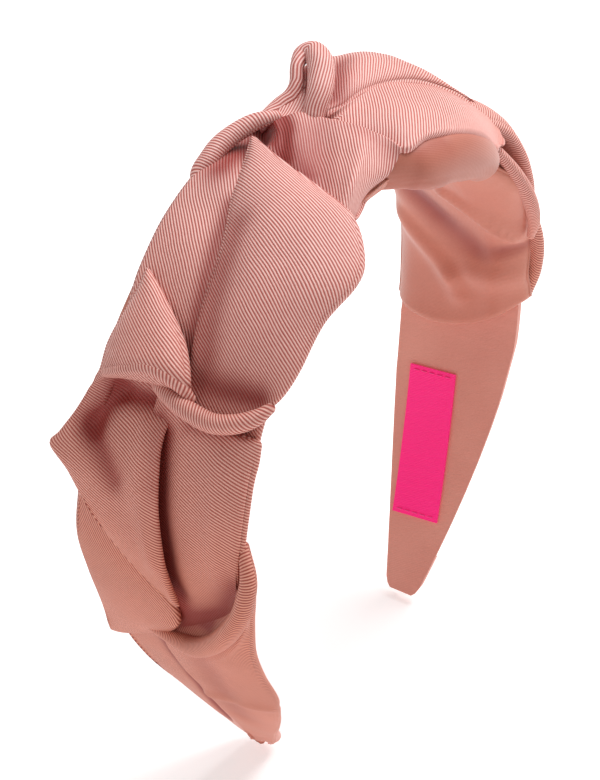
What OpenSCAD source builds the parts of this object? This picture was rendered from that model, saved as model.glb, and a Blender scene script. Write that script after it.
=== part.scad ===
// Knotted headband: a sprung plastic band with a padded fabric cover, dressed with plaited
// fabric tubes that start under a centre wrap at the top and run down both legs.
// The origin is the centre of the crown's inner arc, +Z is up through the crown,
// and Y runs across the band. All sizes are in millimetres.

/* [Band] */
// Radius of the lining's inner face over the crown
crown_r = 65; // [62:0.5:68]
// Half angle of the crown's arc, from the top
crown_half = 108; // [106:1:110]
// Radius of each leg's arc below the crown
leg_r = 350; // [300:10:400]
// Length of each leg's arc
leg_len = 74; // [70:1:78]
// Width of the band over the crown
band_w = 35; // [34:0.5:36]
// Width of the band at its tips
tip_w = 8.6; // [8:0.2:11]
// Length over which the band narrows to a tip
taper_len = 77; // [72:1:80]
// How the taper bows outwards, where 1 is straight
taper_bow = 1.4; // [1.1:0.05:1.6]

/* [Layers] */
// Thickness of the lining
lining_t = 0.5; // [0.4:0.1:0.6]
// Thickness of the moulded core
core_t = 1.6; // [1.4:0.1:1.6]
// Thickness of the foam over the core
foam_t = 2; // [1.6:0.1:2]
// How much thinner the foam is at the tips
foam_thins = 1.4; // [0.8:0.1:1.4]
// Length over which the foam thins towards a tip
thin_len = 60; // [50:5:70]
// How much narrower than the band the core is, on each side
core_inset = 1; // [0.8:0.1:1.1]
// How much narrower than the band the foam is, on each side
foam_inset = 2.8; // [2.4:0.2:3.2]
// Thickness of the fabric cover
cover_t = 0.5; // [0.4:0.1:0.5]
// Thickness of the gathered fabric inside the crown
inner_wrap_t = 1; // [0.8:0.1:1.2]

/* [Plait] */
// Half thickness of one flattened fabric tube
tube_c = 1.2; // [1:0.1:1.2]
// Distance from the middle of one layer of tubes to the next
layer_step = 2.7; // [2.6:0.1:2.8]
// Sides of a tube's section
tube_sides = 12; // [8:2:16]
// Sections along a tube between two of its stations
tube_steps = 4; // [3:1:5]
// Length of the centre wrap along the band
wrap_len = 24; // [20:1:24]
// Thickness of the centre wrap
wrap_t = 1.8; // [1.4:0.1:2]

/* [Label] */
// Length of the woven label
label_len = 42; // [34:1:44]
// Width of the woven label
label_w = 14; // [10:1:14]
// Distance from the crown's top to the label's middle
label_d = 154; // [150:1:156]
// Stitches at each end of the label
label_stitch_count = 5; // [3:1:7]

/* [Hidden] */
$fn = 64;
rose = [0.80, 0.53, 0.47];
deg = 180 / PI;
crown_len = crown_r * crown_half / deg;
band_len = crown_len + leg_len;                 // from the crown's top to a tip
end_angle = crown_half + leg_len / leg_r * deg;
leg_centre = (crown_r - leg_r) * [sin(crown_half), cos(crown_half)];
crown_facets = 35;                              // flats on each side of the crown
leg_facets = 7;                                 // flats on each leg's arc
core_h = lining_t;                              // heights are measured out from the lining's inner face
foam_h = core_h + core_t;
cover_h = foam_h + foam_t;
top_h = cover_h + cover_t;
label_gap = 0.05;                               // air between the lining and the label
label_t = 0.5;                                  // thickness of the label
tip_round = 4;                                  // corner radius of a tip's outline
lining_over = 0.1;                              // how far the lining reaches past the band's own edge
tip_flat = 0.3;                                 // half the least flat left at a tip's very end
reach = 400;                                    // past every edge of the part
layer_1 = top_h + 0.5 + tube_c;                 // middle height of the lowest tubes
layer_2 = layer_1 + layer_step;
layer_3 = layer_2 + layer_step;
inner_wrap_half = 107;                          // how far the inner wrap runs down each side
inner_wrap_side = band_w / 2 + cover_t + 0.5;   // half the inner wrap's width
side_gap = 0.4;                                 // air between the centre wrap and what it goes round
wrap_middle = -7;                               // the centre wrap's middle, along the band

// How far the foam's thinning lets a height in or above the foam sink, at d millimetres from the top
function sinks(d, h) = h <= foam_h + cover_t ? 0 : foam_thins * max(0, min(1, 1 - (band_len - d) / thin_len));

// Angle from the top of the band's outward normal, at d millimetres along it
function angle_at(d) = d <= crown_len ? d / crown_r * deg : crown_half + (d - crown_len) / leg_r * deg;

// A point at d along the right leg, v across it and h above the lining's inner face
function place(d, v, h) =
    let (a = angle_at(d), out = (d <= crown_len ? crown_r : leg_r) + h - sinks(d, h))
    (d <= crown_len ? [0, 0, 0] : [leg_centre[0], 0, leg_centre[1]]) + [out * sin(a), v, out * cos(a)];

// Half the band's width at e millimetres from its end
function half_width(e, margin) =
    let (t = min(e / taper_len, 1), b = tip_w / 2 + (band_w - tip_w) / 2 * (1 - pow(1 - t, taper_bow)),
         r = min(tip_round, tip_w / 2 + margin - tip_flat))
    b + margin - (e < r ? r - sqrt(r * r - pow(r - e, 2)) : 0);

// One side of the side view at height h, from the top to a tip, as points just outside the true arcs
function side_points(h, margin) =
    let (crown_step = crown_half / crown_facets, leg_step = (end_angle - crown_half) / leg_facets,
         points = concat(
            [for (i = [0 : crown_facets]) let (a = i * crown_step)
                (crown_r + h) / cos(crown_step / 2) * [sin(a), cos(a)]],
            [for (i = [1 : leg_facets])
                let (a = crown_half + i * leg_step, d = crown_len + i * leg_len / leg_facets)
                leg_centre + (leg_r + h - sinks(d, h)) / cos(leg_step / 2) * [sin(a), cos(a)]]),
         n = len(points), tip = points[n - 1], flat = tip - points[n - 2])
    [for (i = [0 : n - 1]) i < n - 1 ? points[i] : tip + flat / norm(flat) * margin];

// The side view of a layer between two heights, reaching margin past each tip
module side_view(h0, h1, margin) {
    outer = side_points(h1, margin);
    inner = side_points(h0, margin);
    n = len(outer);
    polygon(concat(outer,
        [for (i = [n - 1 : -1 : 0]) inner[i]],
        [for (i = [1 : n - 1]) [-inner[i][0], inner[i][1]]],
        [for (i = [n - 1 : -1 : 1]) [-outer[i][0], outer[i][1]]]));
}

// The front view of a layer: straight sides over the crown, narrowing to blunt rounded tips
module front_view(margin) {
    ends = [0, 0.3, 1, 2.2, 4, 9, 16, 25, 34, 43, 52, 61, taper_len];
    edge = [for (e = ends) [half_width(e, margin), place(band_len + margin - e, 0, foam_h)[2]]];
    top = crown_r + 30;
    polygon(concat(edge, [[band_w / 2 + margin, top], [-band_w / 2 - margin, top]],
        [for (i = [len(edge) - 1 : -1 : 0]) [-edge[i][0], edge[i][1]]]));
}

// One layer of the band between two heights, with its edges margin outside the band's own
module band_layer(h0, h1, margin) {
    intersection() {
        rotate([90, 0, 0]) linear_extrude(height = 3 * band_w, center = true) side_view(h0, h1, margin);
        rotate([90, 0, 90]) linear_extrude(height = reach, center = true) front_view(margin);
    }
}

// A section of the given profile turned about the crown's axis, middle millimetres along from the top
module crown_turn(length, middle) {
    angle = length / crown_r * deg;
    rotate([90, 0, 0]) rotate([0, 0, 90 - middle / crown_r * deg - angle / 2])
        rotate_extrude(angle = angle) children();
}

module core_band() {
    color("ivory") band_layer(core_h, foam_h, -core_inset);
}

module foam_pad() {
    color("white") band_layer(foam_h, cover_h, -foam_inset);
}

// The fabric over the foam and round the core's edges, as low as the foam's narrower width lets it lie
module band_cover() {
    color(rose)
        difference() {
            union() {
                band_layer(core_h, foam_h + cover_t, cover_t - core_inset);
                band_layer(core_h, top_h, cover_t - foam_inset);
            }
            band_layer(core_h - 0.1, foam_h, -core_inset);
            band_layer(core_h - 0.1, cover_h, -foam_inset);
        }
}

module inner_lining() {
    color(rose * 0.95) band_layer(0, lining_t, lining_over);
}

// The gathered fabric over the lining inside the crown, from edge to edge
module inner_wrap() {
    color(rose * 0.9)
        crown_turn(2 * inner_wrap_half, 0)
            translate([crown_r - inner_wrap_t, -inner_wrap_side])
                square([inner_wrap_t, 2 * inner_wrap_side]);
}

// The strap of fabric that goes over the start of every tube at the crown
module centre_wrap() {
    inside = inner_wrap_side + side_gap;
    roof = layer_3 + tube_c + side_gap;
    bevel = 4;
    color(rose)
        crown_turn(wrap_len, wrap_middle)
            difference() {
                arch(inside + wrap_t, roof + wrap_t, bevel);
                translate([-1, 0]) arch(inside, roof + 1, bevel);
            }
}

// Half the outline of a strap: straight sides, then a bevel up to a flat top
module arch(half, height, bevel) {
    polygon([[crown_r, -half], [crown_r + height - bevel, -half], [crown_r + height, -half + bevel],
        [crown_r + height, half - bevel], [crown_r + height - bevel, half], [crown_r, half]]);
}

// Each tube's stations: distance from the top, place across the band, height, half width, half thickness
front_stations = [
    [5, 6, layer_2, 4, tube_c],
    [20, -4, layer_2 + 0.6, 6, tube_c],
    [34, -16, layer_2 + 1.6, 14, 2.4],
    [46, -15, layer_2 + 1.8, 14, 2.4],
    [58, -9, layer_3, 7.5, tube_c],
    [66, 2, layer_2, 5, tube_c],
    [76, 10, layer_1, 6, tube_c],
    [92, 11, layer_1, 8, tube_c],
    [106, 9, layer_1, 8, tube_c],
    [118, 6, layer_1, 6, tube_c]];
middle_stations = [
    [4, 11, layer_1, 4, tube_c],
    [20, 10, layer_1, 6, tube_c],
    [36, 9, layer_1, 6.5, tube_c],
    [49, 4, layer_1, 5, tube_c],
    [60, -6, layer_1, 5, tube_c],
    [72, -12, layer_1, 9, tube_c],
    [86, -12, layer_1, 10, tube_c],
    [98, -10, layer_1, 7, tube_c],
    [107, -6, layer_1, 4, tube_c]];
back_stations = [
    [6, -8, layer_1, 4, tube_c],
    [28, -10, layer_1, 6, tube_c],
    [42, -8, layer_1 + 0.6, 5, tube_c],
    [52, 0, layer_2 - 0.3, 4.5, tube_c],
    [60, 12, layer_3, 6.5, tube_c],
    [72, 13, layer_3, 9, tube_c],
    [85, 10, layer_2 + 1, 9, tube_c],
    [97, 1, layer_2, 7, tube_c],
    [108, -6, layer_2 + 0.4, 5, tube_c],
    [118, -10, layer_1 + 0.4, 6, tube_c],
    [134, -5, layer_1, 8, tube_c],
    [155, -3, layer_1, 7, tube_c],
    [183, -1, layer_1, 4, tube_c]];

// A point on the smooth curve through four stations, at t from 0 to 1 between the middle two
function smooth(p, t) =
    (2 * p[1] + (p[2] - p[0]) * t + (2 * p[0] - 5 * p[1] + 4 * p[2] - p[3]) * t * t
     + (3 * p[1] - p[0] - 3 * p[2] + p[3]) * t * t * t) / 2;

// Every station of a tube, with tube_steps sections from each to the next
function fill_in(stations) =
    let (last = len(stations) - 1)
    [for (i = [0 : last - 1], k = [0 : tube_steps - (i == last - 1 ? 0 : 1)])
        smooth([stations[max(i - 1, 0)], stations[i], stations[i + 1], stations[min(i + 2, last)]],
            k / tube_steps)];

// The ring of points round one section, square to the way the tube runs along the band
function ring(rows, i) =
    let (row = rows[i], before = rows[max(i - 1, 0)], after = rows[min(i + 1, len(rows) - 1)],
         run = [after[0] - before[0], after[1] - before[1]], across = [-run[1], run[0]] / norm(run))
    [for (k = [0 : tube_sides - 1])
        let (a = 360 * k / tube_sides, w = row[3] * cos(a))
        place(row[0] + across[0] * w, row[1] + across[1] * w, row[2] + row[4] * sin(a))];

// A closed flattened tube through its stations, on the right leg
module tube(stations) {
    rows = fill_in(stations);
    n = tube_sides;
    last = len(rows) - 1;
    points = [for (i = [0 : last], p = ring(rows, i)) p];
    sides = [for (i = [0 : last - 1], k = [0 : n - 1])
        let (a = i * n + k, b = i * n + (k + 1) % n)
        each [[a, a + n, b], [b, a + n, b + n]]];
    first_end = [for (k = [0 : n - 1]) k];
    last_end = [for (k = [n - 1 : -1 : 0]) last * n + k];
    polyhedron(points, concat(sides, [first_end], [last_end]));
}

// A tube on the left leg
module left_tube(stations) {
    mirror([1, 0, 0]) tube(stations);
}

module left_strand_front() {
    color(rose) left_tube(front_stations);
}

module left_strand_middle() {
    color(rose) left_tube(middle_stations);
}

module left_strand_back() {
    color(rose) left_tube(back_stations);
}

module right_strand_front() {
    color(rose) tube(front_stations);
}

module right_strand_middle() {
    color(rose) tube(middle_stations);
}

module right_strand_back() {
    color(rose) tube(back_stations);
}

// The fabric turned over the right tip, outside the cover and the end of the last tube
module right_tip_wrap() {
    length = 12;
    side = cover_t - core_inset + 0.3;          // the wrap's inside, just clear of the cover's edge
    inside = layer_1 + tube_c + 0.4;            // just over the last tube
    color(rose * 0.97)
        intersection() {
            difference() {
                band_layer(lining_t, inside + cover_t, side + cover_t);
                band_layer(lining_t - 0.1, inside, side);
            }
            translate([0, -reach / 2, place(band_len - length, 0, 0)[2] - reach])
                cube([reach, reach, reach]);
        }
}

module left_tip_wrap() {
    mirror([1, 0, 0]) right_tip_wrap();
}

// Spots of glue between the cover and the lowest tubes, on both legs
module glue_dots() {
    spots = [[28, -10], [30, 10], [57, -3], [80, -12], [98, 11], [112, 8], [134, -5], [152, -3]];
    thickness = 0.3;
    spot_r = 2.5;
    middle_h = top_h + 0.25;                    // in the air between the cover and the tubes
    color("linen")
        for (side = [0, 1], s = spots)
            mirror([side, 0, 0])
                translate(place(s[0], s[1], middle_h))
                    rotate([0, angle_at(s[0]), 0]) cylinder(h = thickness, r = spot_r, center = true);
}

// The label's face, turned to lie along the narrowing leg; children are placed on it in its own frame
module at_label() {
    lean = 5;
    label_v = 3;
    translate(place(label_d, label_v, 0))
        rotate([0, angle_at(label_d), 0])
            rotate([0, 0, -lean]) children();
}

module woven_label() {
    color("deeppink")
        intersection() {
            rotate([90, 0, 0]) linear_extrude(height = reach, center = true)
                translate(leg_centre)
                    difference() {
                        circle(r = leg_r - label_gap, $fn = 360);
                        circle(r = leg_r - label_gap - label_t, $fn = 360);
                    }
            at_label() cube([label_len, label_w, 20], center = true);
        }
}

// Short stitches across both ends of the label
module label_stitches() {
    thread_r = 0.15;
    stitch = 1.6;
    pitch = (label_w - 2) / label_stitch_count;
    inset = label_len / 2 - 1.2;
    curve = inset * inset / (2 * leg_r);        // how far the label bends away at its ends
    height = -label_gap - label_t - 0.05 - thread_r - curve;
    color("deeppink")
        at_label()
            for (end = [-1, 1], i = [0 : label_stitch_count - 1])
                translate([end * inset, (i - (label_stitch_count - 1) / 2) * pitch, height])
                    rotate([90, 0, 0]) cylinder(h = stitch, r = thread_r, center = true);
}

core_band();
foam_pad();
band_cover();
inner_lining();
inner_wrap();
centre_wrap();
left_strand_front();
left_strand_middle();
left_strand_back();
right_strand_front();
right_strand_middle();
right_strand_back();
left_tip_wrap();
right_tip_wrap();
glue_dots();
woven_label();
label_stitches();
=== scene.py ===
import math

import bpy
import numpy as np
from mathutils import Matrix, Vector, noise


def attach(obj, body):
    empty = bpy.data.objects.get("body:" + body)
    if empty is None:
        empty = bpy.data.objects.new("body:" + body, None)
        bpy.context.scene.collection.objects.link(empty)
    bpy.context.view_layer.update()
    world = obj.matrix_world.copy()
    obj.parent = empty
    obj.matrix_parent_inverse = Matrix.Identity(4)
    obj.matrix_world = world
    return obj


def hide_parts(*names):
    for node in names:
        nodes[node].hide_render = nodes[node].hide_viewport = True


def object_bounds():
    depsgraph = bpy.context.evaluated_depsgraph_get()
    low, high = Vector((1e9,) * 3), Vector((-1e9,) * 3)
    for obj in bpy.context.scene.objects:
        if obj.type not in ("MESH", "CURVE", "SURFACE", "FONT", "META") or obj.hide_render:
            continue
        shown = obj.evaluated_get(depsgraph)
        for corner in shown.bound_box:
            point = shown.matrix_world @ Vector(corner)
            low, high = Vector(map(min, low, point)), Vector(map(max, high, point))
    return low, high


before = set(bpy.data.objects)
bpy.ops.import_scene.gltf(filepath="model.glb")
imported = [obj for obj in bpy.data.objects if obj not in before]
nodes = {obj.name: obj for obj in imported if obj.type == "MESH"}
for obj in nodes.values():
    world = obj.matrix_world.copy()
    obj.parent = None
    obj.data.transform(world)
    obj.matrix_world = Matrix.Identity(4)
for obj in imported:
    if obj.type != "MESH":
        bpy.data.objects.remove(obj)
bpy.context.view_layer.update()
scene = bpy.context.scene
scene.view_settings.view_transform = "Standard"

# ---------------------------------------------------------------- the band's own coordinates
# A point on the band is (s, v, h) in mm: s runs along the inner face from the top of the
# crown, negative down the left leg, v runs front to back, and h is the height off the
# inner face. These sizes are the CAD model's.
MM = 0.001
CROWN_R = 65.0
CROWN_HALF = math.radians(108)
LEG_R = 350.0
LEG_LEN = 74.0
CROWN_LEN = CROWN_R * CROWN_HALF
HALF_LEN = CROWN_LEN + LEG_LEN
TIP_ROUND = 4.0
TIP_HALF = 4.3
WIDENING = 13.2
TAPER = 77.0
TAPER_POWER = 1.4
UP = np.array([0.0, 0.0, 1.0])


def place(p):
    """Points (s, v, h) in mm as points in the frame, in metres."""
    p = np.asarray(p, float)
    s, v, h = p[..., 0], p[..., 1], p[..., 2]
    a = np.abs(s)
    crown = a <= CROWN_LEN
    angle = np.where(crown, a / CROWN_R, CROWN_HALF + (a - CROWN_LEN) / LEG_R)
    radius = np.where(crown, CROWN_R, LEG_R)
    shift = np.where(crown, 0.0, CROWN_R - LEG_R)
    x = shift * math.sin(CROWN_HALF) + (radius + h) * np.sin(angle)
    z = shift * math.cos(CROWN_HALF) + (radius + h) * np.cos(angle)
    return np.stack([np.sign(s) * x, v, z], -1) * MM


def half_width(s):
    """Half the band's width at s, which narrows to the tips."""
    e = np.maximum(HALF_LEN - np.abs(s), 0.0)
    e_round = np.minimum(e, TIP_ROUND)
    corner = TIP_ROUND - np.sqrt(TIP_ROUND**2 - (TIP_ROUND - e_round) ** 2)
    return TIP_HALF + WIDENING * (1 - (1 - np.minimum(e / TAPER, 1)) ** TAPER_POWER) - corner


def through(points, count):
    """A smooth curve through points, as count points."""
    p = np.asarray(points, float)
    p = np.concatenate([[2 * p[0] - p[1]], p, [2 * p[-1] - p[-2]]])
    t = np.linspace(0, len(p) - 3, count)
    i = np.minimum(t.astype(int), len(p) - 4)
    f = (t - i).reshape((-1,) + (1,) * (p.ndim - 1))
    a, b, c, d = p[i], p[i + 1], p[i + 2], p[i + 3]
    return 0.5 * (2 * b + (c - a) * f + (2 * a - 5 * b + 4 * c - d) * f**2
                  + (3 * b - 3 * c + d - a) * f**3)


def unit(a):
    """Vectors made one long."""
    return a / np.maximum(np.linalg.norm(a, axis=-1, keepdims=True), 1e-6)


def arc(points, axis):
    """Length along axis of a grid of points in metres, in mm."""
    step = np.linalg.norm(np.diff(points, axis=axis), axis=-1) / MM
    return np.concatenate([np.zeros_like(np.take(step, [0], axis)), np.cumsum(step, axis)], axis)


# ---------------------------------------------------------------- meshes
# Sizes in mm, and how finely each piece is divided.
SHEET_THICK = 0.6
ROLL_THICK = 0.4
# a sunken crease's colour is painted shade
DEEP = 1.6          # how deep a crease is where its colour is fullest
LOWEST = 2.4        # no outside cloth on the far leg lies lower, or it shows through the lining
RUMPLE_SIZE = 9.0
FOLD_ROWS = 9       # rows of mesh to each row of points
FEWEST_ROWS = 48
ACROSS = 45
TURN_STEPS = 6
NOSE_TURN = np.linspace(0, math.pi / 2, 7)[1:]
ROLL_ROWS = 14
ROLL_SIDES = 28
SKIRT = 6           # columns at each side, mostly turned under, that a piece isn't measured by
LIFT = 5            # a step in height, to find which way is out


def mesh_object(name, points, weave, material, thickness, closed=False):
    """A cloth piece from a grid of points in metres, with its weave's own coordinates in mm."""
    rows, cols = points.shape[:2]
    index = np.arange(rows * cols).reshape(rows, cols)
    if closed:
        index = np.concatenate([index, index[:, :1]], 1)
    faces = np.stack([index[:-1, :-1], index[:-1, 1:], index[1:, 1:], index[1:, :-1]], -1)
    mesh = bpy.data.meshes.new(name)
    mesh.from_pydata(points.reshape(-1, 3).tolist(), [], faces.reshape(-1, 4).tolist())
    mesh.polygons.foreach_set("use_smooth", [True] * len(mesh.polygons))
    obj = bpy.data.objects.new(name, mesh)
    scene.collection.objects.link(obj)
    if weave is None:
        return obj
    attribute = mesh.attributes.new("weave", "FLOAT_VECTOR", "POINT")
    attribute.data.foreach_set("vector", weave.reshape(-1, 3).astype(np.float32).ravel())
    mesh.materials.append(material)
    solid = obj.modifiers.new("thickness", "SOLIDIFY")
    solid.thickness = thickness * MM
    solid.offset = -1
    return obj


def area_of(points):
    """The area of a grid of points."""
    diagonal = np.cross(points[1:, 1:] - points[:-1, :-1], points[1:, :-1] - points[:-1, 1:])
    return float(np.linalg.norm(diagonal, axis=-1).sum() / 2)


def cut_of(points):
    """The flat width, on average, and the length that a grid of points was cut to, in metres."""
    length = float(arc(points, 0)[-1].mean()) * MM
    return [round(area_of(points) / length, 3), round(length, 3)]


def tube_weave(points, ribs):
    """Weave coordinates of a tube: its own length and girth, with the ribs turned on it."""
    along = arc(points, 0)
    across = arc(points, 1)
    v = np.broadcast_to(along[:, :1], across.shape)
    a = math.radians(ribs)
    return np.stack([across * math.cos(a) + v * math.sin(a),
                     v * math.cos(a) - across * math.sin(a), np.ones_like(v)], -1)


def lay_flat(points, plan, ribs):
    """Where a grid of points lies in the flat cloth, in mm, across its ribs and along them.
    The ribs run at the angle ribs from s towards v; plan is the grid's (s, v)."""
    a = math.radians(ribs)
    rows, cols = points.shape[:2]
    i, j = (np.unique(np.linspace(0, n - 1, (n + 2) // 2).astype(int)) for n in (rows, cols))
    coarse = points[i][:, j]
    cloth = mesh_object("cut", coarse, None, None, 0)
    bpy.context.view_layer.objects.active = cloth
    cloth.select_set(True)
    bpy.ops.object.mode_set(mode="EDIT")
    bpy.ops.mesh.select_all(action="SELECT")
    bpy.ops.uv.unwrap(method="MINIMUM_STRETCH", margin=0, iterations=10)
    bpy.ops.object.mode_set(mode="OBJECT")
    mesh = cloth.data
    corner = np.zeros(len(mesh.loops), np.int32)
    mesh.loops.foreach_get("vertex_index", corner)
    uv = np.zeros(2 * len(mesh.loops), np.float32)
    mesh.uv_layers.active.data.foreach_get("uv", uv)
    flat = np.zeros((len(mesh.vertices), 2))
    flat[corner] = uv.reshape(-1, 2)
    flat = flat.reshape(len(i), len(j), 2)
    bpy.data.objects.remove(cloth)
    seen = (slice(None), slice(SKIRT, -SKIRT))
    raised = np.pad(flat[seen], ((0, 0), (0, 0), (0, 1)))
    flat = flat * math.sqrt(area_of(coarse[seen]) / area_of(raised)) / MM
    here, there = (g[seen].reshape(-1, 2) for g in (flat, plan[i][:, j]))
    left, _, right = np.linalg.svd((here - here.mean(0)).T @ (there - there.mean(0)))
    flat = (flat - here.mean(0)) @ (left @ right)
    flat = np.stack([np.stack([np.interp(np.arange(rows), i, flat[:, k, c])
                               for k in range(len(j))], 1) for c in (0, 1)], -1)
    flat = np.stack([np.stack([np.interp(np.arange(cols), j, row[:, c])
                               for row in flat], 0) for c in (0, 1)], -1)
    return np.stack([flat[..., 1] * math.cos(a) - flat[..., 0] * math.sin(a),
                     flat[..., 0] * math.cos(a) + flat[..., 1] * math.sin(a)], -1)


def rumple(grid, amount, size, seed):
    """Small soft unevenness in height."""
    out = grid.copy()
    for i in range(grid.shape[0]):
        for j in range(grid.shape[1]):
            p = Vector(grid[i, j] / size) + Vector((seed * 7.3, seed * 3.1, seed * 5.7))
            out[i, j, 2] += amount * noise.noise(p)
    return out


def crease(grid, a, b, height, width):
    """Height of a soft ridge, or of a valley where height is below 0, from a to b in (s, v)."""
    a, b = np.asarray(a, float), np.asarray(b, float)
    way = b - a
    t = np.clip(((grid[..., :2] - a) @ way) / (way @ way), 0, 1)
    away = np.linalg.norm(grid[..., :2] - a - t[..., None] * way, axis=-1)
    return height * np.exp(-(away / width) ** 2)


def fold(name, rows, ribs=0.0, edge=0.9, tuck=5.0, full=0.7, start=None, end=None, creases=(),
         shades=(), fade=None, material=None, rumpled=0.25, mirror=None, inside=False):
    """A lobe of the plait: a sheet over rows of points from its left edge to its right.

    edge is the radius its edges turn under with, and tuck is how far they then go in. Rows of
    three points rise between the edges as full says. start and end are how far the nose goes
    that closes that end. creases change the height and paint shade into the colour where they
    sink the cloth; the painted shades paint shade into the colour only: each is a, b, strength
    and width. fade is where in (s, v) the ribs have faded out and where they are full, mirror is
    the other leg's squeeze and shift in v, and inside is for cloth seen from inside the band,
    where raised creases get the painted shade.
    """
    p = np.asarray(rows, float)
    creases, shades = ([(np.array(a, float), np.array(b, float), h, w) for a, b, h, w in given]
                       for given in (creases, shades))
    if mirror:
        p = p * np.array([-1, mirror[0], 1]) + np.array([0, mirror[1], 0])
        p[..., 2] = np.maximum(p[..., 2], LOWEST)
        turned = np.array([-1, mirror[0]])
        creases, shades = ([(a * turned + (0, mirror[1]), b * turned + (0, mirror[1]), h, w)
                            for a, b, h, w in given] for given in (creases, shades))
        ribs = -ribs
        fade = fade and [np.array(f) * turned + (0, mirror[1]) for f in fade]
    count = max(FEWEST_ROWS, FOLD_ROWS * len(rows))
    line = [through(p[:, k], count) for k in range(p.shape[1])]
    left, right = line[0], line[-1]
    flat = np.array([1.0, 1.0, 0.0])
    width = np.linalg.norm(right - left, axis=1, keepdims=True)
    r = np.minimum(edge, 0.2 * width)
    inward = np.minimum(tuck, 0.35 * width)
    out_left, out_right = unit((left - line[1]) * flat), unit((right - line[-2]) * flat)
    a, b = left - out_left * r, right - out_right * r
    sections, chord = [], []
    hidden = (1.0, 0.6, 0.25)
    for x in hidden:
        sections.append(a - UP * r - out_left * inward * x)
        chord.append(a - out_left * inward * x)
    turn = np.linspace(-math.pi / 2, math.pi / 2, TURN_STEPS)
    for t in turn:
        sections.append(a + r * (math.cos(t) * out_left + math.sin(t) * UP))
        chord.append(a + r * math.cos(t) * out_left)
    top_a, top_b = a + r * UP, b + r * UP
    over = (1 - np.cos(np.linspace(0, math.pi, ACROSS)[1:-1])) / 2
    if len(line) == 3:
        rise = line[1] - (top_a + top_b) / 2
        for t in over:
            swell = (4 * t * (1 - t)) ** full
            sections.append(top_a + (top_b - top_a) * t + rise * swell)
            chord.append(a + (b - a) * t + rise * flat * swell)
    else:
        across = through(np.stack([top_a, *line[1:-1], top_b]), ACROSS)[1:-1]
        for t, row in zip(np.linspace(0, 1, ACROSS)[1:-1], across):
            sections.append(row)
            chord.append(row * flat + UP * (a + (b - a) * t)[:, 2:])
    for t in turn[::-1]:
        sections.append(b + r * (math.cos(t) * out_right + math.sin(t) * UP))
        chord.append(b + r * math.cos(t) * out_right)
    for x in hidden[::-1]:
        sections.append(b - UP * r - out_right * inward * x)
        chord.append(b - out_right * inward * x)
    grid, chord = np.stack(sections, 1), np.stack(chord, 1)
    if rumpled:
        grid = rumple(grid, rumpled, RUMPLE_SIZE, len(name))
    none = np.zeros(grid.shape[:2])
    folds = sum((crease(grid, *c) for c in creases), none)
    grid[..., 2] += folds
    # painted shade: creases that sink the cloth, or raise it when seen from inside, darken its
    # colour, and the painted shades darken it only
    painted_shade = np.clip((folds if inside else -folds) / DEEP, 0, 1)
    painted_shade = np.clip(painted_shade + sum((crease(grid, *c) for c in shades), none), 0, 1)
    for reach, at, inner in ((start, 0, 3), (end, -1, -4)):
        if reach is None:
            continue
        rim = np.repeat(painted_shade[at][None], len(NOSE_TURN), 0)
        painted_shade = np.concatenate([rim, painted_shade] if at == 0 else [painted_shade, rim])
        way = unit(unit((chord[at] - chord[inner]) * flat).mean(0))
        middle = chord[at].mean(0)
        narrow = min(0.4, 1.2 * reach / float(width[at, 0]))
        extra = np.stack([middle + (chord[at] - middle) * (1 - narrow * (1 - math.cos(t)))
                          + (grid[at] - chord[at]) * math.cos(t)
                          + way * reach * math.sin(t) for t in NOSE_TURN])
        grid = np.concatenate([extra[::-1], grid] if at == 0 else [grid, extra])
    points = place(grid)
    outward = place(grid + LIFT * UP) - points
    normal = np.cross(points[1:, 1:] - points[:-1, :-1], points[1:, :-1] - points[:-1, 1:])
    if (normal * outward[1:, 1:])[:, 2 * SKIRT:-2 * SKIRT].sum() < 0:
        points, grid, painted_shade = points[:, ::-1], grid[:, ::-1], painted_shade[:, ::-1]
    strength = np.ones(points.shape[:2])
    if fade is not None:
        plain, full_at = np.array(fade, float)
        way = full_at - plain
        strength = np.clip((grid[..., :2] - plain) @ way / (way @ way), 0, 1)
    weave = np.concatenate([lay_flat(points, grid[..., :2], ribs), strength[..., None]], -1)
    obj = mesh_object(name, points, weave, material or faille, SHEET_THICK)
    attribute = obj.data.attributes.new("painted_shade", "FLOAT", "POINT")
    attribute.data.foreach_set("value", painted_shade.astype(np.float32).ravel())
    obj["cut"] = cut_of(points)
    return obj


def roll(name, points, radii, ribs=0.0, material=None):
    """A rolled edge of cloth: a tube along points with a radius at each, closed at both ends."""
    count = ROLL_ROWS * len(points)
    at = through(points, count)
    path = place(at)
    size = through(np.asarray(radii, float)[:, None], count)
    ahead = unit(np.gradient(path, axis=0))
    out = unit(path - place(at - LIFT * UP))
    for k, sign in ((0, -1), (-1, 1)):
        path_k = [path[k] + sign * ahead[k] * size[k] * math.sin(t) * MM for t in NOSE_TURN]
        size_k = [size[k] * max(math.cos(t), 0.02) for t in NOSE_TURN]
        more = [np.stack(path_k), np.stack(size_k),
                np.stack([ahead[k]] * len(NOSE_TURN)), np.stack([out[k]] * len(NOSE_TURN))]
        if sign < 0:
            more = [m[::-1] for m in more]
        path, size, ahead, out = (np.concatenate([m, x] if sign < 0 else [x, m])
                                  for m, x in zip(more, (path, size, ahead, out)))
    side = unit(np.cross(ahead, out))
    out = unit(np.cross(side, ahead))
    turn = np.linspace(0, 2 * math.pi, ROLL_SIDES + 1)[:-1]
    ring = np.stack([path + MM * size * (math.cos(t) * side + math.sin(t) * out)
                     for t in turn], 1)
    return mesh_object(name, ring, tube_weave(ring, ribs), material or faille, ROLL_THICK,
                       closed=True)


# ---------------------------------------------------------------- materials
def new_material(name):
    material = bpy.data.materials.new(name)
    material.use_nodes = True
    tree = material.node_tree
    return material, tree, tree.nodes["Principled BSDF"]


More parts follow.
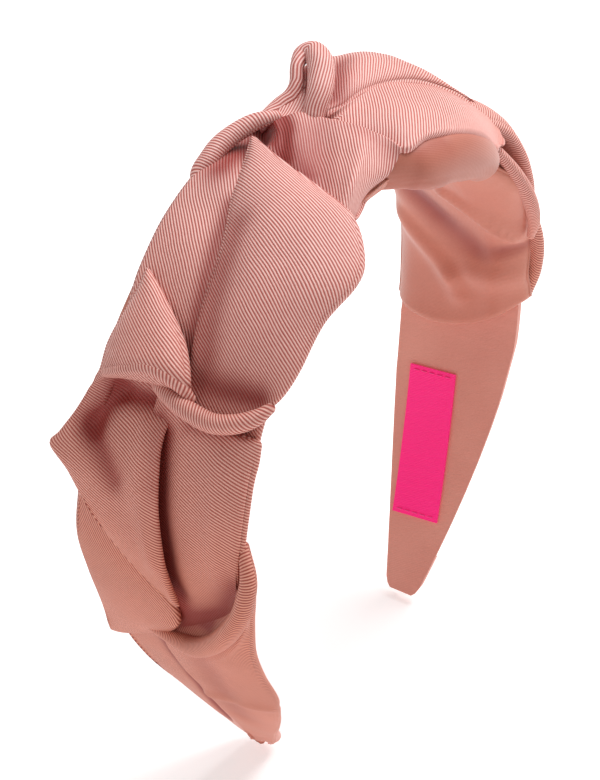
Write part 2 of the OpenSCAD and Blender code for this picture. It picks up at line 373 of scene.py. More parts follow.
def node(tree, kind, inputs=None, **settings):
    """A shader node; inputs maps a socket's name or number to a value or another socket."""
    new = tree.nodes.new(kind)
    for key, value in settings.items():
        setattr(new, key, value)
    for key, value in (inputs or {}).items():
        if isinstance(value, bpy.types.NodeSocket):
            tree.links.new(value, new.inputs[key])
        else:
            new.inputs[key].default_value = value
    return new


def math_node(tree, operation, *values, clamp=False):
    return node(tree, "ShaderNodeMath", dict(enumerate(values)), operation=operation,
                use_clamp=clamp).outputs[0]


def mix_colour(tree, factor, a, b, blend="MIX"):
    """Two colours mixed; the numbers are the mix node's colour sockets."""
    return node(tree, "ShaderNodeMix", {0: factor, 6: a, 7: b}, data_type="RGBA",
                blend_type=blend).outputs[2]


def srgb(r, g, b):
    """A colour of 0 to 255 as the shader's linear one."""
    def linear(c):
        c /= 255
        return c / 12.92 if c <= 0.04045 else ((c + 0.055) / 1.055) ** 2.4
    return (linear(r), linear(g), linear(b), 1.0)


# the ribs' pitch and wander in mm, and their depth and the height where painted top light is
# fullest in metres
RIB_PITCH = 0.68
RIB_WOBBLE = 0.9
RIB_RELIEF = 0.00022
GRAIN_TONE = 0.45
# how much of the deep red painted shade the deepest creases get
PAINTED_SHADE_SHARE = 0.88
PAINTED_LIGHT_TOP = 0.082
LABEL_PAINTED_LIGHT = 0.22


def with_painted_shade(tree, colour):
    """The colour with painted shade: a deep red mixed in where creases sink the cloth."""
    painted_shade = node(tree, "ShaderNodeAttribute", attribute_name="painted_shade").outputs["Fac"]
    share = math_node(tree, "MULTIPLY", painted_shade, PAINTED_SHADE_SHARE)
    # painted shade: a deep red mixed into the colour in creases
    return mix_colour(tree, share, colour, srgb(138, 20, 12))


def ribbed_cloth(name):
    """Faille: fine pale ribs with deep rose between them, and a soft satin sheen."""
    material, tree, shader = new_material(name)
    weave = node(tree, "ShaderNodeAttribute", attribute_name="weave").outputs["Vector"]
    parts = node(tree, "ShaderNodeSeparateXYZ", {0: weave}).outputs
    wobble = node(tree, "ShaderNodeTexNoise", {"Vector": weave, "Scale": 0.09, "Detail": 1.0})
    shift = math_node(tree, "MULTIPLY", wobble.outputs[0], RIB_WOBBLE)
    across = math_node(tree, "ADD", parts[0], shift)
    wave = math_node(tree, "SINE", math_node(tree, "MULTIPLY", across, 2 * math.pi / RIB_PITCH))
    ridge = math_node(tree, "MULTIPLY_ADD", wave, 0.5, 0.5)
    # threads: fine grain stretched along the ribs
    stretched = node(tree, "ShaderNodeMapping", {"Vector": weave, "Scale": (3.2, 0.5, 0.0)})
    grain = node(tree, "ShaderNodeTexNoise", {"Vector": stretched.outputs[0], "Scale": 1.0,
                                              "Detail": 3.0, "Roughness": 0.7}).outputs[0]
    shown = math_node(tree, "MULTIPLY_ADD", math_node(tree, "SUBTRACT", ridge, 0.5), parts[2], 0.5)
    # painted light: the cloth is lighter and pinker up towards the crown, where the top light falls
    height = node(tree, "ShaderNodeSeparateXYZ",
                  {0: node(tree, "ShaderNodeNewGeometry").outputs["Position"]}).outputs[2]
    crown = node(tree, "ShaderNodeMapRange", {0: height, 1: 0.0, 2: PAINTED_LIGHT_TOP}).outputs[0]
    low = mix_colour(tree, crown, srgb(160, 60, 42), srgb(184, 84, 74))
    high = mix_colour(tree, crown, srgb(238, 160, 134), srgb(250, 208, 201))
    tone = math_node(tree, "MULTIPLY_ADD", grain, GRAIN_TONE, -GRAIN_TONE / 2)
    level = math_node(tree, "ADD", shown, tone, clamp=True)
    colour = mix_colour(tree, level, low, high)
    patch = node(tree, "ShaderNodeTexNoise", {"Vector": weave, "Scale": 0.045, "Detail": 2.0})
    soft = math_node(tree, "MULTIPLY_ADD", patch.outputs[0], 0.3, 0.85)
    grey = node(tree, "ShaderNodeCombineXYZ", {0: soft, 1: soft, 2: soft}).outputs[0]
    colour = mix_colour(tree, 1.0, colour, grey, "MULTIPLY")
    # painted shade in the creases
    tree.links.new(with_painted_shade(tree, colour), shader.inputs["Base Color"])
    relief = math_node(tree, "MULTIPLY_ADD", grain, 0.35, shown)
    bump = node(tree, "ShaderNodeBump", {"Height": relief, "Strength": 0.55,
                                         "Distance": RIB_RELIEF})
    tree.links.new(bump.outputs[0], shader.inputs["Normal"])
    shader.inputs["Roughness"].default_value = 0.5
    shader.inputs["Specular IOR Level"].default_value = 0.35
    shader.inputs["Sheen Weight"].default_value = 0.12
    shader.inputs["Sheen Roughness"].default_value = 0.4
    shader.inputs["Sheen Tint"].default_value = srgb(255, 214, 205)
    return material


def smooth_cloth(name, base, shade, scale=1.0, rough=0.5, sheen=0.2, weave_bump=0.35,
                 paint_shade=False):
    """A plain fine weave with soft uneven colour."""
    material, tree, shader = new_material(name)
    at = node(tree, "ShaderNodeTexCoord").outputs["Object"]
    clouds = node(tree, "ShaderNodeTexNoise", {"Vector": at, "Scale": 45.0 * scale, "Detail": 3.0})
    threads = node(tree, "ShaderNodeTexNoise", {"Vector": at, "Scale": 1900.0 * scale,
                                                "Detail": 2.0})
    level = math_node(tree, "MULTIPLY_ADD", clouds.outputs[0], 0.75,
                      math_node(tree, "MULTIPLY", threads.outputs[0], 0.3), clamp=True)
    colour = mix_colour(tree, level, shade, base)
    # painted shade in the creases, where asked for
    tree.links.new(with_painted_shade(tree, colour) if paint_shade else colour, shader.inputs["Base Color"])
    warp = node(tree, "ShaderNodeTexWave", {"Vector": at, "Scale": 620.0 * scale,
                                            "Distortion": 1.5, "Detail": 2.0},
                bands_direction="DIAGONAL")
    relief = math_node(tree, "MULTIPLY_ADD", threads.outputs[0], 0.6,
                       math_node(tree, "MULTIPLY", warp.outputs[1], 0.5))
    bump = node(tree, "ShaderNodeBump", {"Height": relief, "Strength": weave_bump,
                                         "Distance": 0.0001})
    tree.links.new(bump.outputs[0], shader.inputs["Normal"])
    shader.inputs["Roughness"].default_value = rough
    shader.inputs["Specular IOR Level"].default_value = 0.35
    shader.inputs["Sheen Weight"].default_value = sheen
    return material


faille = ribbed_cloth("plait_faille")
lining = smooth_cloth("lining_satin", srgb(238, 168, 150), srgb(210, 130, 114))
# the turned lip: smooth satin, darker than the lining as painted shade, with painted shade in its
# creases too
turned_satin_painted_shade = smooth_cloth("turned_satin_painted_shade", srgb(198, 122, 102), srgb(170, 94, 76), rough=0.45,
                            paint_shade=True)
wrap_satin = smooth_cloth("wrap_satin", srgb(218, 142, 120), srgb(190, 104, 84), scale=0.8,
                          rough=0.42, paint_shade=True)
label_cloth = smooth_cloth("label_satin", srgb(255, 30, 140), srgb(240, 8, 118), rough=0.36,
                           weave_bump=0.7)
label_shader = label_cloth.node_tree.nodes["Principled BSDF"]
# painted light: the label glows a little, so it looks brighter than its light makes it
label_shader.inputs["Emission Color"].default_value = srgb(255, 10, 110)
label_shader.inputs["Emission Strength"].default_value = LABEL_PAINTED_LIGHT
thread = smooth_cloth("label_thread", srgb(255, 80, 165), srgb(228, 20, 120), rough=0.45)
plastic = smooth_cloth("core_plastic", srgb(232, 228, 220), srgb(214, 208, 198), sheen=0.0)
foam = smooth_cloth("foam", srgb(238, 232, 218), srgb(215, 205, 185), rough=0.9)
hot_glue = smooth_cloth("hot_glue", srgb(240, 232, 205), srgb(220, 208, 176), rough=0.3)

# ---------------------------------------------------------------- the plait on the near leg
# Numbers in the lists below are mm. The length of a piece's name seeds its unevenness.
made = []


def lobe(name, rows, slot="plait_cloth", **kwargs):
    """A folded piece, kept with the name of a material slot that nothing uses."""
    made.append((fold(name, rows, **kwargs), slot))


def hem(name, points, radii, **kwargs):
    """A rolled edge of the plait's cloth."""
    made.append((roll(name, points, radii, **kwargs), "plait_cloth"))


LEFT_LOBE = [
    [(-40.5, 14.5, 8.5), (-40.5, 14, 9), (-40.5, 13.5, 8.5)],
    [(-46, 15, 7.5), (-45, 11.5, 10.5), (-44, 7.5, 9)],
    [(-51.5, 16, 7.5), (-50, 8.5, 12), (-48.5, 0.5, 9.5)],
    [(-57, 17, 7.5), (-54, 5.5, 13.2), (-52.5, -4.5, 10)],
    [(-62, 16.5, 8), (-58.3, 3.5, 14), (-58, -9, 11.5)],
    [(-64, 17, 8), (-61.4, 4, 12), (-60.5, -8, 9.5)],
    [(-65.5, 17.3, 8), (-60.6, 4.5, 9.6), (-59.6, -7, 7.5)],
    [(-67, 18, 8), (-60.6, 5.5, 7.4), (-59.2, -6, 6)],
    [(-69.5, 19, 8), (-64.5, 6.5, 6.6), (-62.5, -5, 5.8)],
    [(-73.5, 21, 8), (-70.5, 8, 7.6), (-67.5, -4, 7)],
    [(-77.5, 23.5, 8), (-76, 9.5, 9.2), (-72.5, -4.5, 8.6)],
    [(-81, 25.8, 8), (-81.5, 9, 10.4), (-77, -5.5, 9.5)],
    [(-85, 20, 8), (-87, 6, 10.2), (-84, -6.5, 9.5)],
    [(-91, 14, 8), (-94, 3, 10), (-92, -8, 9.5)],
    [(-98.5, 5, 8), (-99.5, -2, 9.6), (-100.5, -9.5, 9)],
    [(-108, -9, 8), (-108, -9.7, 8.5), (-108, -10.5, 8)],
]
RIGHT_LOBE = [
    [(-62.5, 1, 6.5), (-65.2, -12, 8.5), (-65, -28.5, 7.8)],
    [(-71, 1.5, 5.4), (-69, -15, 9.2), (-68.5, -28.5, 7)],
    [(-78.5, 0, 5.3), (-74.5, -18, 10), (-72.5, -28.4, 7)],
    [(-89.5, -1.5, 5.2), (-83, -19, 9.8), (-79.5, -28.6, 7)],
    [(-101.5, -2.5, 5.1), (-93, -19.5, 8.8), (-90, -28.6, 7)],
    [(-111.5, -3, 5), (-103, -18, 6.6), (-97.5, -28.3, 6.6)],
    [(-120.5, -3.5, 5), (-112, -14.5, 5.4), (-104.5, -26, 5.4)],
    [(-127, -3.5, 4.8), (-118, -15, 5.2), (-109, -25.5, 5.2)],
]
LOWER_LOBE = [
    [(-84, 18, 5.8), (-86, 12, 7), (-88, 6, 6.5)],
    [(-92, 19, 5.5), (-95, 12, 7.3), (-98, 2, 6.5)],
    [(-101.5, 20, 5.3), (-102, 11, 7.8), (-104, -3, 6.5)],
    [(-111, 19, 5.2), (-109, 9, 7.8), (-108, -7, 6.5)],
    [(-121, 19, 5), (-117, 8, 7.8), (-112, -8.5, 6.5)],
    [(-131, 20.5, 5), (-125, 9, 7.5), (-115, -8.5, 7)],
    [(-139.5, 22.5, 5), (-131.5, 10, 6.6), (-117, -7, 6.4)],
]
BACK_STRAND = [
    [(s, 17, h), (s, 14.8, h + 0.5), (s, 12.5, h - 0.2)]
    for s, h in ((-46, 5.4), (-57, 5), (-66, 4), (-75, 4), (-84, 5.2), (-94, 5.4))
]
TIP_OUTER = [
    [(-119, -2.5, 4.4), (-112, -14.5, 4.4), (-97, -26, 4.6)],
    [(-120.8, -1, 5.6), (-113.5, -18, 6.6), (-93.5, -29.5, 6)],
    [(-122.8, 0, 6.6), (-115.5, -19.5, 8.8), (-91.5, -31.2, 7.6)],
    [(-125.5, 0, 6.6), (-118.5, -20, 9), (-96, -32, 7.4)],
    [(-131, 0.5, 6.5), (-123.5, -17.5, 8.5), (-105.5, -30.2, 6.2)],
    [(-139, -0.5, 6.2), (-130, -16.5, 7.8), (-117, -28.2, 5.6)],
    [(-148, -2, 5.8), (-140, -15, 7.2), (-128, -27, 5)],
    [(-158, -2.6, 5.2), (-152, -13.5, 6.4), (-142, -26, 4.2)],
    [(-168, -2.6, 4.6), (-163, -11.5, 5.6), (-156, -21.5, 3.4)],
    [(-178, -1.8, 3.9), (-175, -8, 4.7), (-169, -16.2, 2.8)],
    [(-186.5, -0.4, 3.2), (-184.5, -4.5, 3.9), (-179, -11.2, 2.4)],
    [(-192.5, 0.8, 2.8), (-190.8, -3, 3.3), (-187, -7.6, 2.1)],
    [(-195.6, 0.6, 2.4), (-195.2, -1.8, 2.6), (-193.5, -5, 1.8)],
]
TIP_INNER = [
    [(-132, 17.5, 4.2), (-130, 8, 5.7), (-128, -6, 4.6)],
    [(-142, 16.8, 4.2), (-141, 7.5, 5.5), (-139, -6, 4.4)],
    [(-152, 15.5, 3.6), (-151, 7, 5.2), (-150, -6, 4)],
    [(-162, 13.6, 2.7), (-162, 6, 4.8), (-161, -5, 3.6)],
    [(-172, 11.3, 1.9), (-172, 4.5, 4.3), (-172, -4, 3.2)],
    [(-182, 8.9, 1.3), (-182, 4, 3.6), (-182, -3, 2.9)],
    [(-189, 6.9, 1.0), (-189, 2.5, 3.2), (-189, -2, 2.9)],
    [(-193.5, 4.2, 1.1), (-193.5, 1.5, 2.7), (-193.5, -1.5, 2.4)],
]
TIP_FADE = ((-166, 0), (-146, 0))
TIP_GROOVE = [((-131, 0.5), (-186, 0.5), -0.9, 1.8)]
TIP_CREASES = [
    ((-152, -3), (-146, -24), 0.6, 1.6), ((-122, -12), (-160, -10), -0.5, 4.0),
    ((-119, -2.5), (-97, -26), -0.9, 2.0),
]
LEFT_CREASES = [
    ((-65.5, 9), (-65, -4), -1.0, 2.4),
    ((-65, 11), (-74, 15.5), -1.6, 3.0), ((-74, 15.5), (-82, 6), -1.2, 3.0),
    ((-70, 1), (-97, -6), 0.7, 2.6),
]
RIGHT_CREASES = [
    ((-70, -4), (-106, -9), -1.2, 3.2), ((-70, -20), (-96, -22), 0.5, 3.0),
]

# In the pieces below, the painted shades and the creases that sink the cloth paint shade into its
# colour.
lobe("near_leaf_lobe", [
    [(-5, 11.5, 10), (-5, 11, 10.5), (-4.5, 10.5, 10)],
    [(-12.5, 8, 9), (-11, 4.5, 12), (-7.5, 2, 9.5)],
    [(-18.5, 6, 8.5), (-16.5, -2, 13), (-10, -7.5, 9)],
    [(-26.5, 2, 8.5), (-22.5, -11.5, 13.5), (-15, -23.5, 8.5)],
    [(-33.5, -0.5, 8.5), (-29, -17, 13.5), (-22.5, -32, 8)],
    [(-40.5, -2, 8.5), (-36, -19, 13), (-29, -34.5, 8)],
    [(-47.5, -3.5, 8.5), (-44, -19, 12), (-38.5, -32, 8)],
    [(-54.5, -5, 8), (-51.5, -18.5, 10), (-48.5, -31.4, 7.8)],
    [(-59, -5, 7.2), (-57.5, -17, 7.7), (-54.6, -29.6, 7.4)],
    [(-62, -5, 7), (-63, -16.5, 7.6), (-58.6, -26.6, 7.2)],
], ribs=62, creases=[
    ((-27, -2), (-52, -9), -0.9, 3.5), ((-57, -10), (-56.5, -24), -0.9, 3),
], shades=[((-36, -0.5), (-58, -6), 0.35, 2.2), ((-60, -9), (-57, -25), 0.35, 3.0)])

hem("near_leaf_hem", [
    (-59, 3, 7), (-60.9, -0.7, 9.3), (-62.4, -5.3, 10.4), (-63.4, -10.9, 10.8),
    (-63.8, -17, 10.8), (-62.4, -22.2, 10), (-60.2, -25.6, 8.8), (-57.6, -27.6, 7.6),
], [1.2, 1.5, 1.7, 1.9, 1.9, 1.8, 1.5, 0.8], ribs=58)

lobe("near_side_strand", [
    [(4, 16.5, 5.2), (4, 11, 5.6), (4, 3, 5.2)],
    [(-3, 16.5, 5.6), (-3, 11, 6), (-2, 3, 5.6)],
    [(-9, 17.5, 6.6), (-9, 11, 8), (-8, 3, 7)],
    [(-17, 18, 7.5), (-17, 11, 9.5), (-16, 2, 8)],
    [(-26, 18, 7.5), (-26, 9, 9), (-27, -2, 6.5)],
    [(-35, 17.8, 7), (-36, 9, 8.8), (-37, -5, 6)],
    [(-44, 17, 6.5), (-45, 7, 8.2), (-46, -7, 5.8)],
    [(-53, 15, 6), (-54, 4, 7.2), (-54, -6, 5.6)],
], ribs=40, shades=[
    ((-22, 4), (-54, -4), 0.75, 2.0), ((-42, 12), (-54, 4), 0.45, 1.6),
    ((5, 14), (-15, 12), 0.9, 4.0),
])

lobe("near_left_lobe", LEFT_LOBE, ribs=66, creases=LEFT_CREASES, shades=[
    ((-65, 11), (-64, -4), 0.5, 2.4), ((-70, -3), (-80, -5), 0.25, 2.0),
])

hem("near_left_hem", [
    (-62.5, 14, 9), (-61, 9.5, 11), (-59.3, 4.5, 12.2), (-58.3, 0.5, 12.6), (-58.5, -3.5, 12.4),
    (-59.5, -7, 11.4), (-61, -9.5, 10),
], [0.8, 1.2, 1.4, 1.5, 1.4, 1.2, 0.7], ribs=66)

lobe("near_under_strand", [
    [(-56, -8, 5.8), (-56, -17, 6.2), (-56, -26.5, 5.8)],
    [(-62, -8, 5.8), (-62, -17, 6.2), (-61, -26.5, 5.8)],
    [(-68, -8, 5.5), (-68, -17, 6), (-67, -26.5, 5.5)],
], ribs=60)

lobe("near_right_lobe", RIGHT_LOBE, ribs=72, start=0.9, creases=RIGHT_CREASES, shades=[
    ((-68, -1), (-111, -7), 0.8, 2.8), ((-113, -8), (-112, -18), 0.9, 4.5),
    ((-112, -18), (-97, -27), 0.9, 3.5), ((-66, -10), (-64, -24), 0.5, 2.0),
    ((-120, -8), (-113, -22), 1.0, 4.0),
])

lobe("near_back_strand", BACK_STRAND, ribs=40, edge=1.5)

lobe("near_lower_lobe", LOWER_LOBE, ribs=35, edge=1.0, end=1.3)

lobe("near_tip_outer_strand", TIP_OUTER, ribs=48, edge=1.0, end=0.5, creases=TIP_CREASES,
     fade=TIP_FADE,
     shades=[((-119, -3), (-112, -14.5), 1.0, 3.0), ((-112, -14.5), (-97, -26), 1.0, 3.0)])

lobe("near_tip_inner_strand", TIP_INNER, ribs=31, end=0.3, fade=TIP_FADE, creases=TIP_GROOVE,
     shades=[((-131, 2.5), (-150, 0.8), 1.0, 1.8), ((-150, 0.8), (-190, 1), 1.0, 1.6)])

hem("near_tip_collar", [
    (-124, 4, 6), (-121.5, -7.5, 7.9), (-118.5, -14, 8.9), (-111, -22.5, 9.3), (-102.5, -28.6, 9.2),
    (-96.5, -30.6, 8.8), (-92, -30.6, 8), (-87, -27.6, 6),
], [1.0, 1.7, 2.0, 2.1, 2.0, 1.8, 1.5, 0.9], ribs=74)

# the tip's edge, round from one side to the other
RIM_SIDE = [
    (-184, 6.2, 1), (-188, 5.4, 0.7), (-191, 4.7, 0.6), (-193.4, 4, 0.6), (-195.2, 2.6, 0.6),
]
hem("near_tip_rim", RIM_SIDE + [(-195.7, 0, 0.6)] + [(s, -v, h) for s, v, h in RIM_SIDE[::-1]],
    [0.7] + [1.2] * 9 + [0.7], material=lining)

# ---------------------------------------------------------------- the crossing over the crown
lobe("crown_front_fold", [
    [(1.5, 14, 9), (1, 13, 7.5), (-2, 11, 7), (-5, 9.5, 7)],
    [(0.5, 10.5, 12), (-1.5, 7.5, 11.5), (-4, 5.5, 11), (-6.5, 5.5, 9.5)],
    [(2, 9, 12.3), (-2, 4.5, 12), (-6, 1.5, 11), (-8.5, 0, 9.5)],
    [(4.5, 5.5, 12.2), (-2, 0.5, 11.8), (-8, -4, 10.8), (-11.5, -6, 9)],
    [(6.5, 0, 11.6), (-0.5, -5, 9.8), (-8, -10, 9), (-14, -13, 8)],
    [(7.5, -4.5, 11.2), (-0.5, -10, 10.2), (-8.5, -15, 9.6), (-15, -17.5, 7.5)],
    [(8, -9, 11), (0, -14.5, 11.2), (-8, -19, 10.6), (-14.5, -21, 8)],
    [(8, -12, 10.6), (2.5, -16, 9.8), (-5, -19, 8.4), (-12.5, -21, 4)],
    [(8.3, -16, 10), (4.5, -18, 8.4), (-1.5, -19.5, 6.6), (-8, -19.5, 2.8)],
    [(7.8, -20, 9), (5.5, -20.3, 7.2), (2, -20.2, 5), (-3.5, -18, 2.8)],
], ribs=40, edge=0.7, tuck=0.5, rumpled=0.1, creases=[
    ((2, 8), (-9, 0), -1.0, 2.2), ((4, -1), (-12, -11), -0.5, 3.5), ((1, 13), (-5, 9.5), -1.6, 2.5),
], shades=[
    ((1, 14.5), (-1.5, 6.5), 1.0, 3.2), ((-3.5, 4), (-10.5, -7), 0.7, 3.0),
    ((0, 0), (-10, -14), 0.25, 4.0), ((8, -7), (5, -19), 0.25, 2.5),
])

hem("crown_front_roll", [
    (-19.5, 16.5, 6.5), (-16.5, 17.5, 7.5), (-13.5, 17, 8.5), (-9.5, 16.5, 9.5), (-5.5, 15, 10.5),
    (-2.5, 13, 11.5), (-0.5, 11, 12), (1.5, 9.5, 11.8),
], [0.8, 1.4, 1.8, 2.0, 1.9, 1.7, 1.4, 1.0], ribs=76)

lobe("crown_lip", [
    [(2, -10, 6), (2, -15, 7), (3, -17.5, 5),
     (4, -17, 2), (5, -15, -1), (6, -9, -1.5)],
    [(8, -16, 7.5), (8.5, -20.5, 8), (8.5, -22, 5),
     (8.5, -21.5, 1.5), (9.5, -19.5, -1), (10, -10, -1.6)],
    [(15, -18, 8.5), (15, -22, 9), (13, -24.5, 5.5),
     (13, -25, 1.5), (15.5, -23.5, -1.5), (16, -11, -1.8)],
    [(24, -19, 8.5), (23, -24, 8.5), (22, -26.3, 5),
     (22.5, -26.3, 1), (24.5, -24, -1.8), (25, -12, -1.8)],
    [(33, -20, 7.5), (33, -25, 7.5), (33, -26.8, 4),
     (34, -26, 0.5), (35, -23.5, -2), (35, -12, -1.8)],
    [(41, -20, 6), (42, -24, 5.5), (43, -25, 2.5),
     (43.5, -23.5, -0.5), (44, -20, -2.2), (44, -12, -1.8)],
    [(46, -18, 4), (47.5, -21.5, 3), (48.5, -21.5, 1),
     (48.8, -20, -0.8), (49, -17, -2), (49, -12, -1.6)],
], edge=0.5, tuck=1.0, end=1.0, rumpled=0.3, slot="lining_cloth", material=turned_satin_painted_shade,
    creases=[((11, -21.5), (18, -23.5), -0.5, 2.0)])

lobe("crown_cross_strand", [
    [(9, 1.5, 10), (8.5, 1, 9.6), (6.5, -0.8, 9), (4, -2.5, 8)],
    [(12, 0, 11.5), (10.5, -1.3, 11.2), (8, -3.5, 10), (5, -6, 8)],
    [(18, -1, 13), (15, -3.2, 12.8), (10, -7.5, 11), (5.5, -11, 7.5)],
    [(26, -0.5, 14), (20, -5.5, 14), (13, -11.5, 12.4), (7, -16, 8)],
    [(33, -2.5, 14.6), (24, -9.5, 14.2), (15, -16, 12.6), (8, -21.5, 9)],
    [(40, -4, 15), (31, -11.5, 14.4), (22, -18, 12.6), (14, -22, 10)],
    [(46, -8, 14.5), (39, -14.5, 13.6), (30, -20.5, 11.8), (22, -23.5, 9.6)],
    [(50, -12.5, 13.5), (45, -18, 12), (38, -22.5, 10), (31, -24.8, 8.5)],
    [(51.5, -16, 12), (48.5, -20, 9.8), (44.5, -23, 7.5), (40, -24.8, 6)],
], ribs=38, edge=1.0, tuck=1.5, end=1.2, fade=((26, -25), (24, -19.5)))

lobe("crown_top_lobe", [
    [(7, 3, 9.5), (10.5, 8.5, 13.5), (15, 15, 15)],
    [(8, 1, 10.5), (16, 8, 16), (25, 16.5, 16.5)],
    [(9, 0.7, 11), (18.5, 8.5, 16.2), (30, 18.5, 15.5)],
    [(13, -0.5, 12), (24, 9, 18.4), (37, 18.5, 15)],
    [(19, -0.5, 13), (30, 9, 19.6), (43, 17.5, 14.5)],
    [(25, -1.2, 14), (35.5, 7, 20), (49, 15.5, 14)],
    [(31, -3, 15), (40.5, 4, 19.8), (54, 12.5, 13.5)],
    [(38, -5.5, 15.3), (45.5, -0.5, 18.6), (58, 8, 13)],
    [(44, -8.5, 15.2), (50, -4.5, 16.8), (60, 3, 13)],
    [(48, -11, 14), (52, -9, 14.6), (58, -4, 13)],
], ribs=30, edge=1.2, full=0.65, start=1.5,
    creases=[((23, 10.5), (13, 2.6), -1.2, 3.0), ((39, 3), (46, -4), -0.8, 2.6)])

hem("crown_loop", [
    (3.1, 13.4, 9.5), (6.5, 12.8, 10.4), (8.9, 11.6, 12.3), (10.5, 11.6, 15), (12.3, 13.2, 18),
    (15.1, 14.2, 20), (16.2, 12.1, 20.8), (14.4, 8.6, 19.8), (12, 6, 17.5), (9.1, 4, 15),
    (6.4, 3.2, 11.4),
], [1.6, 2.0, 1.8, 1.3, 1.2, 1.8, 2.3, 2.8, 2.8, 2.6, 2.2], ribs=8)

lobe("crown_back_strand", [
    [(1, 16.8, 6.6), (1, 10, 8.6), (1, 3, 7)],
    [(10, 17.2, 7.4), (10, 10, 10.6), (10, 3, 8)],
    [(20, 17.4, 7.6), (20, 10, 12.6), (20, 2, 9)],
    [(31, 17.5, 7.6), (31, 10, 13.4), (31, 1, 9)],
    [(42, 17.5, 7.6), (42, 10, 13), (42, 0, 9)],
    [(53, 17.4, 7.4), (53, 9, 11.4), (53, 0, 8.5)],
    [(64, 17, 6.8), (64, 9, 9), (64, 0, 7)],
], ribs=30, edge=2.5, end=1.0)

lobe("crown_loop_skirt", [
    [(2, 14.5, 9.3), (1, 12.5, 10.2), (0.5, 9.5, 10.2)],
    [(6, 14.5, 10.2), (4.5, 10.5, 11.6), (3, 6, 10.8)],
    [(10, 14, 11.5), (7.5, 8.5, 12.6), (6, 2.5, 10.6)],
    [(13, 14, 13), (10, 8.5, 13.8), (8, 2, 11)],
], ribs=12, edge=1.0)

# ---------------------------------------------------------------- the far leg
lobe("far_side_lobe", [
    [(44, 8, 10), (44, -4, 14.5), (44, -15, 10)],
    [(52, 6, 12), (52, -7, 17), (53, -19.5, 12)],
    [(60, 4, 11.5), (60, -9, 16.5), (61, -22, 10)],
    [(69, 3, 10), (69, -10, 14), (69, -22.5, 7.5)],
    [(78, 2, 8.5), (78, -10, 11.5), (78, -21.8, 5.5)],
    [(88, 2, 7.5), (88, -10, 10.5), (88, -23, 4.5)],
    [(97, 3, 7), (97, -9, 9.5), (97, -22, 4)],
    [(104, 4, 6.5), (104, -8, 8.2), (104.5, -19.5, 3.5)],
], ribs=60, edge=1.8, end=1.4)

hem("far_front_roll", [
    (49, -21, 6), (57, -24, 3.5), (66, -25.5, 1.5), (75, -24.8, 0.5), (81, -23, 0),
], [1.0, 1.4, 1.5, 1.2, 0.6], ribs=80)

lobe("far_left_lobe", LEFT_LOBE, ribs=66, creases=LEFT_CREASES, mirror=(0.78, 0))
lobe("far_back_strand", BACK_STRAND, ribs=40, edge=1.5, mirror=(0.97, 0))
lobe("far_right_lobe", RIGHT_LOBE, ribs=72, end=1.0, creases=RIGHT_CREASES, mirror=(0.6, 3))
lobe("far_lower_lobe", LOWER_LOBE, ribs=35, end=1.3, mirror=(0.75, 0))
lobe("far_tip_outer_strand", TIP_OUTER, ribs=48, end=1.6, fade=TIP_FADE, mirror=(0.58, 2.5))
lobe("far_tip_inner_strand", TIP_INNER, ribs=31, end=1.6, fade=TIP_FADE, creases=TIP_GROOVE,
     mirror=(0.85, 0))

for side, name in ((-1, "near_tip_cap"), (1, "far_tip_cap")):
    lobe(name, [
        [(side * s, half_width(s), 1.8), (side * s, 0, 2.7 - 0.6 * drop),
         (side * s, -half_width(s), 1.8)]
        for s, drop in ((184, 0), (188, 0), (191, 0.2), (193.3, 0.5), (194.6, 0.9), (195.4, 1.4))
    ], slot="tip_cloth", ribs=40, edge=1.1, tuck=1.2, end=0.4, rumpled=0.05, full=0.5,
        material=lining)


WRAP_HELD = 108     # past this s the wrap gets no narrower


def wrap_row(s):
    """Points round the band's inside at s, from edge to edge. On the far leg the wrap bulges past
    the front edge, most at s = 80, and flares a little at the back by its end."""
    w = half_width(np.clip(s, -WRAP_HELD, WRAP_HELD))
    front = w + 0.1 + 0.9 / (1 + math.exp((45 - s) / 5)) + 5.5 * math.exp(-((s - 80) / 14) ** 2)
    back = w + 0.3 + 0.8 * math.exp(-((s - 112) / 12) ** 2)
    row = [(back - 0.7, 3.4), (back, 1.0), (0.8 * w, -2.2), (0.4 * w, -3.3), (0, -3.6),
           (-0.4 * w, -3.5), (-0.75 * w, -3.1), (-front, 1.0), (0.6 - front, 3.4)]
    # each row runs aslant and sags, as the wrap's ends do
    return [(s + 0.3 * v - 0.018 * v * v, v, h) for v, h in row]


# creases raised here sink the wrap as seen from inside, and get painted shade
lobe("inner_wrap_cloth", [wrap_row(s) for s in np.linspace(116.5, -104, 30)],
     slot="wrap_cloth", edge=0.6, tuck=2.0, start=0.8, material=wrap_satin, rumpled=0.35,
     inside=True,
     creases=[
         ((72, 9), (90, -8), 1.2, 5.5), ((68, 8), (80, 4), 0.4, 6.0),
         ((63, -4.5), (82.5, -19.5), -2.0, 2.2), ((86.5, 15.5), (101, 0.5), -1.6, 3.0),
         ((101, 0.5), (107, -1.5), -1.0, 3.0), ((98, -7), (97, -18.5), -1.6, 4.0),
         ((88, -15), (86, -22), 0.9, 2.5),
     ])

# ---------------------------------------------------------------- what each piece stands for
replaced = {
    "near_leaf_lobe": "left_strand_front",
    "near_side_strand": "left_strand_middle",
    "near_left_lobe": "left_strand_back",
    "near_tip_cap": "left_tip_wrap",
    "far_tip_cap": "right_tip_wrap",
    "crown_front_fold": "centre_wrap",
    "far_left_lobe": "right_strand_back",
    "crown_top_lobe": "right_strand_middle",
    "far_side_lobe": "right_strand_front",
    "inner_wrap_cloth": "inner_wrap",
}
for obj, slot in made:
    if obj.name in replaced:
        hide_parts(replaced[obj.name])
    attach(obj, "root")

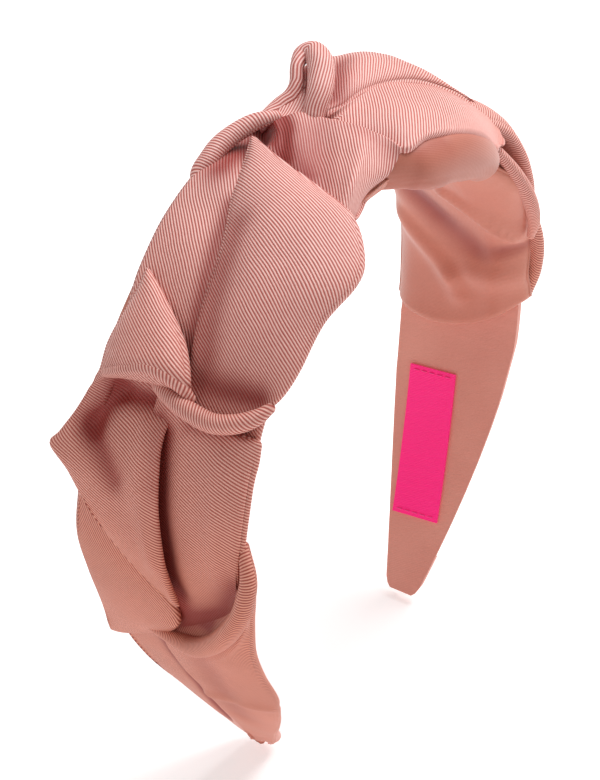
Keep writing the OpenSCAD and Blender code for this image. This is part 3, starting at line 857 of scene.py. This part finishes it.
for name, material in {
    "core_band": plastic, "foam_pad": foam, "band_cover": lining, "inner_lining": lining,
    "woven_label": label_cloth, "label_stitches": thread, "glue_dots": hot_glue,
}.items():
    nodes[name].data.materials.clear()
    nodes[name].data.materials.append(material)

# ---------------------------------------------------------------- floor, lights and camera
FLOOR_HALF, FLOOR_GAP, FLOOR_GLOW = 4.0, 0.001, 0.4
WORLD_LIGHT = 0.42
WHITE = (1, 1, 1, 1)

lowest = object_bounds()[0][2]
floor_mesh = bpy.data.meshes.new("floor")
floor_mesh.from_pydata([(x * FLOOR_HALF, y * FLOOR_HALF, lowest - FLOOR_GAP) for x, y in
                        ((-1, -1), (1, -1), (1, 1), (-1, 1))], [], [(0, 1, 2, 3)])
floor = bpy.data.objects.new("floor", floor_mesh)
scene.collection.objects.link(floor)
paper, paper_tree, paper_shader = new_material("floor_paper")
paper_shader.inputs["Base Color"].default_value = (0.9, 0.9, 0.9, 1)
paper_shader.inputs["Roughness"].default_value = 0.9
paper_shader.inputs["Emission Color"].default_value = WHITE
paper_shader.inputs["Emission Strength"].default_value = FLOOR_GLOW
floor_mesh.materials.append(paper)

world = bpy.data.worlds.new("studio")
world.use_nodes = True
world.node_tree.nodes["Background"].inputs["Color"].default_value = WHITE
world.node_tree.nodes["Background"].inputs["Strength"].default_value = WORLD_LIGHT
scene.world = world


def area_light(name, at, size, power):
    """A square light at a point in metres, turned to the origin."""
    data = bpy.data.lights.new(name, "AREA")
    data.size = size
    data.energy = power
    obj = bpy.data.objects.new(name, data)
    scene.collection.objects.link(obj)
    obj.location = at
    obj.rotation_euler = (-Vector(at)).to_track_quat("-Z", "Y").to_euler()


area_light("top_light", (0.55, -0.13, 0.88), 0.7, 11.5)
area_light("side_light", (-0.8, 0.1, 0.3), 0.35, 0.6)

AZIMUTH, ELEVATION, TILT = math.radians(-53.72), math.radians(37.6), math.radians(-3.21)
DISTANCE, SENSOR = 0.59681, 36
FOCAL_PX, IMAGE_H, SHIFT_X, SHIFT_Y = 2434.64, 780.0, -21.3, 9.9
back = Vector((math.sin(AZIMUTH) * math.cos(ELEVATION), -math.cos(AZIMUTH) * math.cos(ELEVATION),
               math.sin(ELEVATION)))
level_right = Vector((math.cos(AZIMUTH), math.sin(AZIMUTH), 0))
level_up = back.cross(level_right)
right = level_right * math.cos(TILT) + level_up * math.sin(TILT)
up = level_up * math.cos(TILT) - level_right * math.sin(TILT)
camera_data = bpy.data.cameras.new("camera")
camera_data.sensor_width = SENSOR
camera_data.lens = SENSOR * FOCAL_PX / IMAGE_H
camera_data.shift_x = SHIFT_X / IMAGE_H
camera_data.shift_y = SHIFT_Y / IMAGE_H
camera_data.clip_start = 0.01
camera = bpy.data.objects.new("camera", camera_data)
scene.collection.objects.link(camera)
camera.matrix_world = Matrix((
    (right.x, up.x, back.x, back.x * DISTANCE),
    (right.y, up.y, back.y, back.y * DISTANCE),
    (right.z, up.z, back.z, back.z * DISTANCE),
    (0, 0, 0, 1),
))
scene.camera = camera
